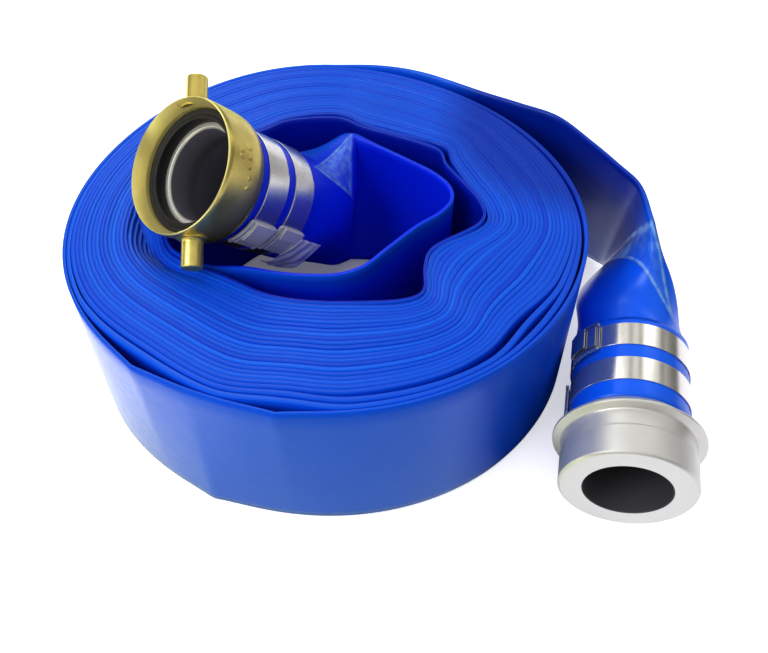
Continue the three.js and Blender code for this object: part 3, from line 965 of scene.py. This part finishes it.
def make_hose():
    rows, creases = hose_rows()
    middle = (rows[:, 0:3] + rows[:, 3:6]) / 2
    print("hose", round(float(np.sum(np.linalg.norm(np.diff(middle, axis=0), axis=1)))), "mm long")
    skin = hose_skin(rows)
    first_lumen = open_end(rows)[::-1]
    last_lumen = open_end(rows[::-1])
    last_lumen = last_lumen[:, lumen_order(len(skin[0]))]
    rings = np.concatenate([first_lumen, skin, last_lumen])
    count = rings.shape[1]
    steps = np.linalg.norm(np.diff(rings.mean(axis=1), axis=0), axis=1)
    along = np.concatenate([[0], np.cumsum(steps)])
    uvs, paints = [], []
    for i in range(len(rings) - 1):
        inside = i < len(first_lumen) - 1 or i >= len(first_lumen) + len(skin)
        for j in range(count):
            v0, v1 = GIRTH * j / count, GIRTH * (j + 1) / count
            uvs += [(along[i], v0), (along[i], v1), (along[i + 1], v1), (along[i + 1], v0)]
            paints.append(int(inside))
    uvs += [(0, 0)] * (2 * count)
    paints += [1, 1]
    faces = tube_faces(len(rings), count)
    hose = make_object("hose", rings.reshape(-1, 3), faces, [HOSE_PVC, HOSE_LINING], paints, uvs)
    sharp_rings = {len(first_lumen) + crease for crease in creases}
    for edge in hose.data.edges:
        first, second = edge.vertices
        if first // count == second // count and first // count in sharp_rings:
            edge.use_edge_sharp = True
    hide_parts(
        "hose_roll", "hose_inner_tail", "hose_outer_tail", "hose_cuff_female", "hose_cuff_male"
    )


# ---- fittings ----


def finish_fitting(obj, slot, *nodes):
    sharpen(obj)
    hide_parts(*nodes)
    return obj


def round_boss(name, matrix, place, axis, rings, sides=40):
    """A solid round its own axis: rings are (distance along the axis, radius), base first."""
    axis = Vector(axis).normalized()
    side = axis.orthogonal().normalized()
    other = axis.cross(side)
    points = []
    for along, radius in rings:
        for j in range(sides):
            angle = TAU * j / sides
            turned_out = side * math.cos(angle) + other * math.sin(angle)
            points.append(matrix @ (Vector(place) + axis * along + turned_out * radius))
    faces = tube_faces(len(rings), sides)
    corner_count = sum(len(face) for face in faces)
    return make_object(name, points, faces, [BRASS_CAST], None, [(0, 0)] * corner_count)


def join_solids(target, others):
    for other in others:
        union = target.modifiers.new("join", "BOOLEAN")
        union.operation = "UNION"
        union.solver = "EXACT"
        union.object = other
    apply_modifiers(target)
    for other in others:
        bpy.data.objects.remove(other)


def lug_rings():
    fillet, length, sunk = 2.0, LUG_REACH - NUT_RADIUS, 2.5
    rings = [(-sunk, LUG_RADIUS + fillet)]
    for k in range(8):
        angle = math.pi / 2 * k / 7
        rings.append((fillet * (1 - math.cos(angle)), LUG_RADIUS + fillet * (1 - math.sin(angle))))
    edge = 0.8
    for k in range(5):
        angle = math.pi / 2 * k / 4
        rings.append((length - edge * (1 - math.sin(angle)), LUG_RADIUS - edge * (1 - math.cos(angle))))
    rings.append((length - 0.15, LUG_RADIUS - 1.6))
    return rings


def make_swivel_nut():
    cast, cut = 0, 1
    body = turned(
        "swivel_nut_brass",
        [
            (NUT_RADIUS - 0.8, 0, 0.3, cut),
            (NUT_THREAD_RADIUS, 6.6, 0.25, cut),
            (NUT_THREAD_RADIUS, NUT_SHOULDER_AT, 0.3, cut),
            (NUT_REAR_HOLE_RADIUS, NUT_SHOULDER_AT, 0.3, cut),
            (NUT_REAR_HOLE_RADIUS, NUT_LENGTH, 0.5, cast),
            (NUT_RADIUS - 4.4, NUT_LENGTH, 1.2, cast),
            (NUT_RADIUS - 2.0, NUT_LENGTH - 1.7, 2.0, cast),
            (NUT_RADIUS - 0.8, NUT_LENGTH - 4.6, 2.5, cast),
            (NUT_RADIUS - 0.3, NUT_LENGTH - 9, 3.0, cast),
            (NUT_RADIUS, 2.2, 0.9, cast),
            (NUT_RADIUS - 0.35, 0.5, 0.3, cut),
        ],
        FEMALE,
        [BRASS_CAST, BRASS_CUT],
        sides=160,
        body="swivel",
    )
    bosses = []
    for angle in (LUG_ANGLE, LUG_ANGLE + math.pi):
        axis = around_axis(angle)
        place = axis * NUT_RADIUS + Vector((0, 0, -LUG_AT))
        bosses.append(round_boss("lug", FEMALE, place, axis, lug_rings()))
    for degrees, behind, radius in PIPS:
        axis = around_axis(math.radians(degrees))
        place = axis * (NUT_RADIUS - 1.3) + Vector((0, 0, -behind))
        rings = ((0, radius + 0.3), (1.2, radius + 0.1), (1.5, radius * 0.8), (1.62, radius * 0.4))
        bosses.append(round_boss("pip", FEMALE, place, axis, rings, 16))
    join_solids(body, bosses)
    finish_fitting(body, "nut_brass", "swivel_nut")


def make_gasket():
    face = GASKET_FACE_AT
    gasket = turned(
        "swivel_gasket_rubber",
        [
            (GASKET_BORE_RADIUS, face, 0.5),
            (GASKET_BORE_RADIUS, FLANGE_AT - 0.05, 0.2),
            (GASKET_RADIUS + 0.3, FLANGE_AT - 0.05, 0.2),
            (GASKET_RADIUS + 0.3, face, 0.6),
            (GASKET_RADIUS - 1.5, face, 0.3),
            (GASKET_RADIUS - 1.9, face + 0.5, 0.3),
            (GASKET_RADIUS - 2.4, face + 0.5, 0.3),
            (GASKET_RADIUS - 2.8, face, 0.3),
        ],
        FEMALE,
        [RUBBER],
        body="swivel",
    )
    finish_fitting(gasket, "gasket_rubber", "swivel_gasket")


def barbs(start, end, pitch=7.0, depth=0.8):
    count = int((end - start) / pitch)
    step = (end - start) / count
    rows = []
    for i in range(count):
        rows.append((SHANK_RADIUS, start + i * step + 0.2, 0.2))
        rows.append((SHANK_RADIUS - depth, start + (i + 1) * step, 0.2))
    return rows[::-1]


def make_female_shank():
    # dark is the slot of the bore's painted shade.
    bright, dark = 0, 1
    neck = NUT_REAR_HOLE_RADIUS - 0.3
    shank = turned(
        "female_shank_casting",
        [
            (FEMALE_BORE_RADIUS + 0.8, FLANGE_AT, 0.3, bright),
            (FEMALE_BORE_RADIUS, FLANGE_AT + 1.2, 0.3, dark),
            (FEMALE_BORE_RADIUS, NUT_LENGTH, 1.0, dark),
            (SHANK_BORE_RADIUS, NUT_LENGTH + 6, 1.0, dark),
            (SHANK_BORE_RADIUS, FEMALE_SHANK_END, 0.3, bright),
            *barbs(FEMALE_CUFF_AT, FEMALE_SHANK_END),
            (neck, NUT_LENGTH, 0.3),
            (neck, NUT_SHOULDER_AT - 0.3, 0.4),
            (FLANGE_RADIUS, NUT_SHOULDER_AT - 0.3, 0.3),
            (FLANGE_RADIUS, FLANGE_AT, 0.3),
        ],
        FEMALE,
        [ALUMINIUM_CUT, BORE_GREY_PAINTED_SHADE],
    )
    finish_fitting(shank, "shank_aluminium", "female_shank")


def make_male_shank():
    # dark is the slot of the bore's painted shade.
    bright, dark = 0, 1
    first, last = 1.6, MALE_NOSE_LENGTH - 1.2
    samples = 42
    crest = [last + (first - last) * k / samples for k in range(samples + 1)]

    def thread(radius, behind, angle):
        on_nose = radius > MALE_NOSE_RADIUS - 0.01 and first - 0.1 < behind < last + 0.1
        if not on_nose:
            return radius, behind
        fade = min(1, (behind - first) / 1.5, (last - behind) / 1.5)
        turn = behind / THREAD_PITCH - angle / TAU
        return radius - THREAD_DEPTH * max(0, fade) * (0.5 - 0.5 * math.cos(TAU * turn)), behind

    shank = turned(
        "male_shank_casting",
        [
            (MALE_BORE_RADIUS, 0, 0.5, dark),
            (MALE_BORE_RADIUS, MALE_RING_AT, 1.0, dark),
            (SHANK_BORE_RADIUS, MALE_CONE_END, 1.0, dark),
            (SHANK_BORE_RADIUS, MALE_SHANK_END, 0.3, bright),
            *barbs(MALE_CONE_END, MALE_SHANK_END),
            (HOSE_RADIUS, MALE_CONE_END, 0.3),
            (MALE_RING_RADIUS, MALE_RING_AT + 1.2, 0.35),
            (MALE_RING_RADIUS, MALE_RING_AT, 0.35),
            (MALE_NECK_RADIUS + 0.4, MALE_RING_AT - 0.8, 1.2),
            (MALE_NECK_RADIUS, MALE_NOSE_LENGTH, 0.3),
            *((MALE_NOSE_RADIUS, behind, 0) for behind in crest),
            (MALE_NOSE_RADIUS, 1.1, 0.3),
            (MALE_NOSE_RADIUS - 1.1, 0, 0.3),
        ],
        MALE,
        [ALUMINIUM_CUT, BORE_PAINTED_SHADE],
        sides=192,
        wobble=thread,
    )
    finish_fitting(shank, "shank_aluminium", "male_shank")


# ---- band clamps ----


def strip_rings(path, width, thickness, chamfer=0.12):
    """Rings of a flat strip along a path of (x, y, behind) in a fitting's frame; it lies across
    the fitting's axis."""
    path = np.asarray(path, float)
    ahead = np.gradient(path[:, :2], axis=0)
    ahead /= np.linalg.norm(ahead, axis=1)[:, None]
    w, t = width / 2, thickness / 2
    c = min(chamfer, t * 0.6)
    outline = [
        (w - c, t), (w, t - c), (w, c - t), (w - c, -t),
        (c - w, -t), (-w, c - t), (-w, t - c), (c - w, t),
    ]
    return [
        [(x + ay * v, y - ax * v, -behind + u) for u, v in outline]
        for (x, y, behind), (ax, ay) in zip(path, ahead)
    ]


def add_strip(build, matrix, path, width, thickness):
    """Adds a strip to build, a (points, faces, uvs) triple."""
    points, faces, uvs = build
    rings = strip_rings(path, width, thickness)
    count = len(rings[0])
    faces += tube_faces(len(rings), count, len(points))
    points += [matrix @ Vector(p) for ring in rings for p in ring]
    along = 0.0
    for i in range(len(rings) - 1):
        step = math.dist(rings[i][0], rings[i + 1][0])
        for j in range(count):
            v0, v1 = rings[i][j][2], rings[i][(j + 1) % count][2]
            uvs += [(along, v0), (along, v1), (along + step, v1), (along + step, v0)]
        along += step
    uvs += [(0, 0)] * (2 * count)


def arc(radius, start, end, behind, step=3.0, skew=0.0):
    """Points of an arc between two angles in degrees. radius may be a function of the angle."""
    count = max(2, int(abs(end - start) / step) + 1)
    rows = []
    for share in np.linspace(0, 1, count):
        angle = start + (end - start) * share
        r = radius(angle) if callable(radius) else radius
        x, y = r * math.cos(math.radians(angle)), r * math.sin(math.radians(angle))
        rows.append((x, y, behind + skew * share))
    return rows


def make_band(side, where, matrix, behind, buckle_angle, overlap=75):
    """One strip wound once and a bit, with its outer end laid over its inner one."""
    middle = behind + BAND_WIDTH / 2
    layer = BAND_THICKNESS / 2
    inner = BAND_INNER_RADIUS + layer / 2

    def radius(angle):
        wound = (angle - start) - (360 - 8)
        return inner + layer * 1.06 * min(1, max(0, wound / 8))

    start = buckle_angle - 6
    build = ([], [], [])
    add_strip(build, matrix, arc(radius, start, start + 360 + overlap, middle), BAND_WIDTH, layer)
    points, faces, uvs = build
    band = make_object(f"{side}_band_{where}_strip", points, faces, [STEEL], None, uvs)
    finish_fitting(band, "band_steel", f"{side}_band_{where}")


def make_buckle(side, where, matrix, behind, angle, lip):
    """A sleeve with rolled edges round the strip, and the strip's own end folded back over it."""
    middle = behind + BAND_WIDTH / 2
    width, skin, bead = 15.0, 0.7, 1.5
    base = BAND_INNER_RADIUS + BAND_THICKNESS + 0.06 + skin / 2
    half = 17  # degrees on each side of its middle
    build = ([], [], [])
    add_strip(build, matrix, arc(base, angle - half, angle + half, middle), width, skin)
    for edge in (-width / 2, width / 2):
        roll = arc(base + 0.55, angle - half + 1, angle + half - 1, middle + edge)
        add_strip(build, matrix, roll, bead, bead)
    top = base + skin + 0.3
    tail = arc(top, angle - half + 3, angle + half - 1, middle)
    tip = Vector(tail[-1][:2]).normalized()
    fold = tip * (top + 0.5) * 1.004
    back = arc(top + 1.0, angle + half - 1, angle + half - lip, middle, skew=0.6)
    path = tail + [(fold.x, fold.y, middle)] + back
    add_strip(build, matrix, path, BAND_WIDTH - 1.2, 0.6)
    points, faces, uvs = build
    # Painted light: the female end's buckles take the lighter steel.
    steel = BUCKLE_STEEL_PAINTED_LIGHT if side == "female" else STEEL
    buckle = make_object(f"{side}_buckle_{where}_sleeve", points, faces, [steel], None, uvs)
    finish_fitting(buckle, "band_steel", f"{side}_band_buckle_{where}")


def make_bands():
    ends = (
        ("male", MALE, MALE_BANDS_AT, (205, 148), (14, 20)),
        ("female", FEMALE, FEMALE_BANDS_AT, (-20, -16), (22, 12)),
    )
    for side, matrix, places, angles, lips in ends:
        for where, behind, angle, lip in zip(("front", "rear"), places, angles, lips):
            make_band(side, where, matrix, behind, angle)
            make_buckle(side, where, matrix, behind, angle, lip)


def make_film():
    """A loose scrap of clear film, creased, with one corner hanging."""
    rows, columns = 26, 22
    first_angle, last_angle = -60, -4
    at, length, reach = 60.6, 15.5, 29.7  # behind the face, along the axis, and from it
    points = []
    for i in range(rows):
        for j in range(columns):
            u, v = i / (rows - 1), j / (columns - 1)
            angle = math.radians(first_angle + (last_angle - first_angle) * u)
            behind = at + length * v + 1.2 * math.sin(5 * u + 1)
            radius = reach + 0.35 * math.sin(9 * u + 4 * v) + 0.25 * math.sin(17 * v - 6 * u)
            radius += 0.8 * v * (1 - u) + 0.5 * abs(math.sin(6 * u - 3 * v))
            points.append(FEMALE @ around_axis(angle, radius, behind))
    faces = []
    for i in range(rows - 1):
        for j in range(columns - 1):
            a = i * columns + j
            faces.append((a, a + 1, a + columns + 1, a + columns))
    film = make_object("film_scrap", points, faces, [FILM])
    solid = film.modifiers.new("thickness", "SOLIDIFY")
    solid.thickness = 0.12 * MM
    solid.offset = 0
    apply_modifiers(film)
    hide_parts("clear_film_scrap")


make_swivel_nut()
make_gasket()
make_female_shank()
make_male_shank()
make_bands()
make_film()
make_hose()
